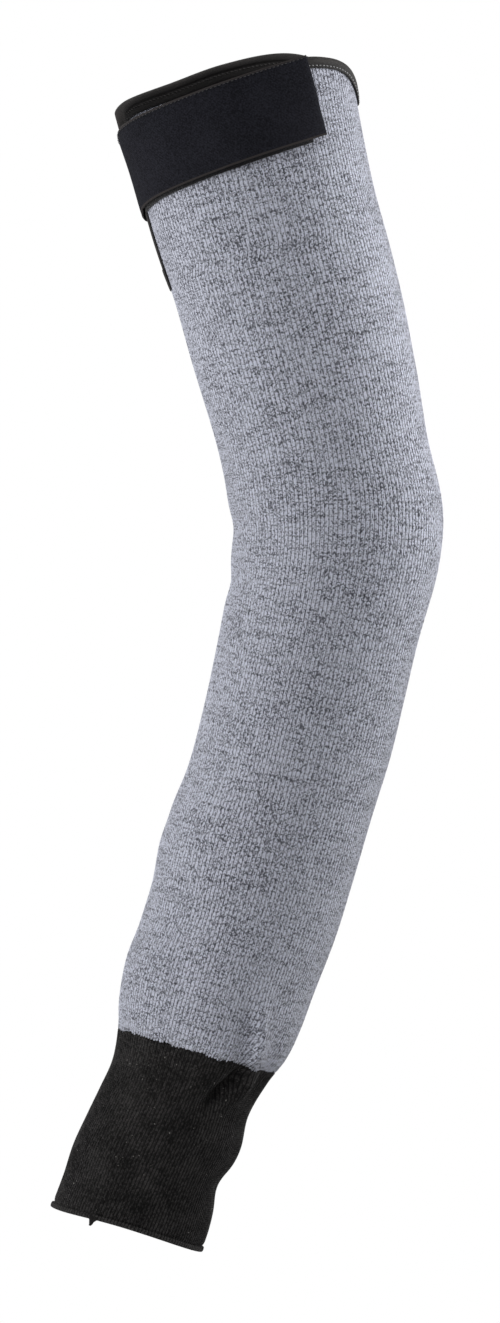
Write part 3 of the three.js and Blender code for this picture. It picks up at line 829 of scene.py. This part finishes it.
def tape_patch(name, ends, top, bottom, low, high, columns, rows):
    """A flat tape over the cloth between two places round it, each the same for all its width or
    given by the share across it. Its faces stand at the two heights, and draw together at its
    rim by the tenth power of the distance across it and the sixtieth along it."""
    share = np.linspace(0, 1, rows)[:, None]
    along = np.linspace(0, 1, columns)[None, :]
    first, last = (end(share) if callable(end) else end for end in ends)
    around = first + (last - first) * along
    station = top(around) + (bottom(around) - top(around)) * share
    rim = 1 - (1 - np.abs(2 * share - 1) ** 10) * (1 - np.abs(2 * along - 1) ** 60)
    half = (high(around, share) - low(around, share)) / 2
    middle = (high(around, share) + low(around, share)) / 2
    reach = half * (1 - 0.6 * rim)
    uv = np.broadcast_arrays(np.radians(around) * 5, (bottom(around) - top(around)) * share / 10)
    return cloth_sheet(
        name,
        off_cloth(station, around, middle + reach),
        off_cloth(station, around, middle - reach),
        np.stack(uv, -1),
    )


loop_patch = tape_patch(
    "loop_tape_patch",
    (57, 169.5),
    lambda around: mouth_edge(around) + BINDING_WIDTH + 0.6,
    lambda around: strap_middle(around) + STRAP_WIDTH / 2 + 1.4,
    lambda around, share: 0.3 + 0 * around,
    lambda around, share: 1.6 + 0 * around,
    160,
    60,
)


def pile_finish():
    """Brushed nylon pile: a dull black mat of tiny loops."""
    material, shader, *_, place = new_finish(
        "black_loop_pile",
        Roughness=0.95,
        Sheen_Weight=0.3,
        Sheen_Roughness=0.4,
        Specular_IOR_Level=0.2,
    )
    loops = place.noise(1.8, 3.0, 0.7)
    tone = loops.smooth_step(0.3, 0.75)
    feed(shader, "Base Color", tone.blend((0.006, 0.006, 0.007, 1), (0.035, 0.035, 0.038, 1)))
    relief(shader, loops, 0.0008)
    return material


loop_pile = pile_finish()
loop_patch.data.materials.append(loop_pile)
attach(loop_patch, "root")
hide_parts("loop_tape")


# The hook tape
# A strip of stiff black hook tape sewn to the underside of the strap's free end. Only its edge
# shows, at the strap's end and along its upper edge.

hook_strip = tape_patch(
    "hook_tape_strip",
    (lambda share: 51.2 + 2.2 * ease((share - 0.28) / 0.06), 98),
    lambda around: strap_middle(around) - 18.6,
    lambda around: strap_middle(around) + 17,
    lambda around, share: 1.9 + 0 * around,
    lambda around, share: 3.0 + 0 * around,
    80,
    60,
)


def hook_finish():
    """Moulded black nylon with a dull shine and a fine grain of hooks."""
    material, shader, *_, place = new_finish(
        "black_hook_tape", Roughness=0.55, Specular_IOR_Level=0.4
    )
    grain = place.noise(2.2, 2.0, 0.6)
    tone = grain.smooth_step(0.3, 0.7)
    feed(shader, "Base Color", tone.blend((0.008, 0.008, 0.009, 1), (0.022, 0.022, 0.024, 1)))
    relief(shader, grain, 0.0004)
    return material


hook_nylon = hook_finish()
hook_strip.data.materials.append(hook_nylon)
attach(hook_strip, "root")
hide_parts("hook_tape")


# The closure strap
# A wide black woven elastic strap with firm selvedges. Two rows of stitches hold it behind the
# slit, it passes over the slit, and its free end, stitched along the top, is pressed on the front.

STRAP_THICKNESS = 1.6
# Each row: a place round the arm, and the height of the strap's underside there.
STRAP_HEIGHTS = np.array([
    (51, 3.3),
    (94, 3.3),
    (112, 2.2),
    (152, 2.2),
    (167, 1.95),
    (174, 1.2),
    (226, 1.1),
])


def strap_low(around, share):
    """The strap's underside: its height over what lies beneath it."""
    return curve_through(STRAP_HEIGHTS, around) + 0 * share


def strap_high(around, share):
    """The strap's face: its thickness above its underside, and a little more at the free end and
    in a bell curve over each selvedge."""
    end = 0.08 * (1 - ease((around - 56) / 1.5))
    edges = np.exp(-(((share - 0.018) / 0.012) ** 2)) + np.exp(-(((share - 0.982) / 0.012) ** 2))
    return strap_low(around, share) + STRAP_THICKNESS + end + 0.2 * edges


strap = tape_patch(
    "closure_strap_band",
    (lambda share: 52.4 - 1.9 * share, 226),
    lambda around: strap_middle(around) - STRAP_WIDTH / 2,
    lambda around: strap_middle(around) + STRAP_WIDTH / 2,
    strap_low,
    strap_high,
    360,
    110,
)


def elastic_finish():
    """Blue-black woven elastic: fine cords lie along the strap, finer picks cross them, and the
    selvedges are a little browner."""
    material, shader, u, v, place = new_finish(
        "black_woven_elastic",
        Roughness=0.85,
        Sheen_Weight=0.02,
        Sheen_Roughness=0.35,
        Specular_IOR_Level=0.12,
    )
    cords = (v * 14).arch()
    picks = (u * 22).arch()
    fleck = place.noise(1.2, 2.0, 0.65)
    patch = place.noise(0.06)
    tone = (cords * 0.15 + picks * 0.15 + fleck * 0.9 + patch * 0.2).smooth_step(0.55, 0.95)
    from_middle = (v - STRAP_WIDTH / 20).size()  # the map's height is in centimetres
    selvedge = from_middle.smooth_step(1.84, 1.88)
    cloth = tone.blend((0.0045, 0.0046, 0.0072, 1), (0.021, 0.0214, 0.0295, 1))
    feed(shader, "Base Color", selvedge.blend(cloth, (0.042, 0.037, 0.037, 1)))
    relief(shader, cords * 0.3 + picks * 0.3 + fleck * 0.4, 0.00025)
    return material


woven_elastic = elastic_finish()
strap.data.materials.append(woven_elastic)
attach(strap, "root")
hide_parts("closure_strap")

strap_run = np.linspace(54, 222, 170)
sewn_end = np.linspace(-17.5, 17.5, 40)
# Each row: a seam's name, its stations and its places round the arm.
strap_seams = [
    ("upper_edge", strap_middle(strap_run) - 18.3, strap_run),
    ("sewn_end_first", strap_middle(223.8) + sewn_end, 223.8 + 0 * sewn_end),
    ("sewn_end_second", strap_middle(212.0) + sewn_end, 212 + 0 * sewn_end),
]
black_thread = thread_finish("black_thread", (0.07, 0.068, 0.072, 1), (0.03, 0.03, 0.032, 1))
for name, stations, arounds in strap_seams:
    face_height = strap_high(arounds, 0.5) - 0.1
    seam = sewn_line(
        f"strap_stitches_{name}", stations, arounds, face_height, 2.1, 0.55, 0.24
    )
    seam.data.materials.append(black_thread)
    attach(seam, "root")


# The studio
# A pale floor under the sleeve, which is held up as an arm would hold it, white surroundings,
# and soft lights at its sides, so that its middle is the darkest, with weak ones above and ahead.

FLOOR_HEIGHT = -690.0
FLOOR_RADIUS = 1000.0
FLOOR_SIDES = 96
turn = np.linspace(0, 2 * np.pi, FLOOR_SIDES + 1)[:-1]
rim = FLOOR_RADIUS * np.stack([np.cos(turn), np.sin(turn)], -1)
floor_points = np.vstack([[(0, 0)], rim])
floor_points = np.column_stack([floor_points, np.full(len(floor_points), FLOOR_HEIGHT)])
spoke = np.arange(1, FLOOR_SIDES + 1)
floor_faces = np.stack([0 * spoke, spoke, spoke % FLOOR_SIDES + 1], -1)
floor_uv = np.zeros((FLOOR_SIDES * 3, 2))
floor = mesh_of("studio_floor", floor_points, [floor_faces], floor_uv, smooth=False)
floor_paint, floor_shader, *_ = new_finish("pale_floor", Roughness=0.9)
floor_shader.inputs["Base Color"].default_value = (0.82, 0.82, 0.82, 1)
floor.data.materials.append(floor_paint)

studio = bpy.data.worlds.new("white_studio")
bpy.context.scene.world = studio
studio.use_nodes = True
sky = Wire(studio.node_tree, None)
studio.node_tree.nodes.clear()
seen = sky.node("LightPath", output="Is Camera Ray")
soft = seen.node("Background", {}, {"Color": (1, 1, 1, 1), "Strength": 0.305})
bright = seen.node("Background", {}, {"Color": (1, 1, 1, 1), "Strength": 1.0})
shown = seen.node("MixShader", {}, {0: seen, 1: soft, 2: bright})
world_out = studio.node_tree.nodes.new("ShaderNodeOutputWorld")
studio.node_tree.links.new(shown.socket, world_out.inputs["Surface"])

# Each row: a light's name, its place in metres, its side in metres and its power in watts.
middle = Vector((0.0032, 0.0, -0.253))
for name, place, size, power in (
    ("left_soft_light", (-1.9, -0.25, -0.3), 1.0, 25.0),
    ("right_soft_light", (0.47, 0.06, -0.04), 0.45, 2.7),
    ("top_soft_light", (0.1, 0.6, 1.6), 0.9, 4.0),
    ("front_soft_light", (-0.1, -0.65, 0.5), 0.4, 1.3),
):
    lamp = bpy.data.lights.new(name, "AREA")
    lamp.size = size
    lamp.energy = power
    light = bpy.data.objects.new(name, lamp)
    light.location = place
    light.rotation_euler = (middle - Vector(place)).to_track_quat("-Z", "Y").to_euler()
    bpy.context.scene.collection.objects.link(light)

DISTANCE = 3.7  # in metres, as the height of the view is
VIEW_HEIGHT = 0.6324
SENSOR_HEIGHT = 24.0
lens = bpy.data.cameras.new("studio_camera")
lens.sensor_fit = "VERTICAL"
lens.sensor_height = SENSOR_HEIGHT
lens.lens = SENSOR_HEIGHT * DISTANCE / VIEW_HEIGHT
camera = bpy.data.objects.new("studio_camera", lens)
camera.location = middle + Vector((0, -DISTANCE, 0))
camera.rotation_euler = (np.pi / 2, 0, 0)
bpy.context.scene.collection.objects.link(camera)
bpy.context.scene.camera = camera
bpy.context.scene.view_settings.view_transform = "Standard"
